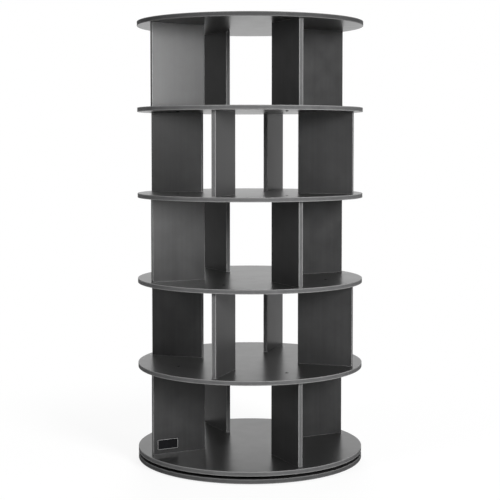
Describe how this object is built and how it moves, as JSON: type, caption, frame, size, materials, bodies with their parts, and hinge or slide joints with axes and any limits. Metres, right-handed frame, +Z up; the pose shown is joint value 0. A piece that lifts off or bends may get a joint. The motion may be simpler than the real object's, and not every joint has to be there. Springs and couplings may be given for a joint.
{
  "type": "rotating shoe tower",
  "caption": "Round shelves held apart by radial dividers in staggered tiers, turning freely on a flat ball swivel over a round base board.",
  "frame": {"origin": "on the floor, on the axis that the tower turns about", "axes": "+Z up along the turning axis, -Y towards the front view; X and Y are marked on the base board, with the screw access hole on +X"},
  "size_m": [0.5, 0.5, 0.9712],
  "materials": {
    "board": "charcoal laminate, semi-gloss on the faces, with bare grey-stained cut edges",
    "zinc_steel": "zinc plated pressed sheet",
    "ball_steel": "polished",
    "nylon": "natural nylon",
    "rubber": "matt black"
  },
  "bodies": {
    "base": {"base_board": "board", "foot_pad_1": "rubber", "foot_pad_2": "rubber", "foot_pad_3": "rubber", "foot_pad_4": "rubber", "foot_pad_5": "rubber", "foot_pad_6": "rubber", "swivel_lower_plate": "zinc_steel", "swivel_lower_screw_1": "zinc_steel", "swivel_lower_screw_2": "zinc_steel", "swivel_lower_screw_3": "zinc_steel", "swivel_lower_screw_4": "zinc_steel"},
    "ball_set": {"swivel_ball_cage": "nylon", "swivel_ball_01": "ball_steel", "swivel_ball_02": "ball_steel", "swivel_ball_03": "ball_steel", "swivel_ball_04": "ball_steel", "swivel_ball_05": "ball_steel", "swivel_ball_06": "ball_steel", "swivel_ball_07": "ball_steel", "swivel_ball_08": "ball_steel", "swivel_ball_09": "ball_steel", "swivel_ball_10": "ball_steel", "swivel_ball_11": "ball_steel", "swivel_ball_12": "ball_steel", "swivel_ball_13": "ball_steel", "swivel_ball_14": "ball_steel", "swivel_ball_15": "ball_steel", "swivel_ball_16": "ball_steel"},
    "tower": {"swivel_upper_plate": "zinc_steel", "swivel_upper_screw_1": "zinc_steel", "swivel_upper_screw_2": "zinc_steel", "swivel_upper_screw_3": "zinc_steel", "swivel_upper_screw_4": "zinc_steel", "bottom_shelf": "board", "shelf_2": "board", "shelf_3": "board", "shelf_4": "board", "shelf_5": "board", "top_shelf": "board", "divider_1a": "board", "divider_1b": "board", "divider_1c": "board", "divider_1d": "board", "divider_2a": "board", "divider_2b": "board", "divider_2c": "board", "divider_2d": "board", "divider_3a": "board", "divider_3b": "board", "divider_3c": "board", "divider_3d": "board", "divider_4a": "board", "divider_4b": "board", "divider_4c": "board", "divider_4d": "board", "divider_5a": "board", "divider_5b": "board", "divider_5c": "board", "divider_5d": "board"}
  },
  "joints": [
    {"name": "tower_spin", "type": "hinge", "parent": "base", "child": "tower", "pos_m": [0, 0, 0.016], "axis": [0, 0, 1], "continuous": true},
    {"name": "ball_orbit", "type": "hinge", "parent": "base", "child": "ball_set", "pos_m": [0, 0, 0.016], "axis": [0, 0, 1], "continuous": true}
  ],
  "couplings": [
    {"joint": "ball_orbit", "follows": "tower_spin", "ratio": 0.5}
  ]
}
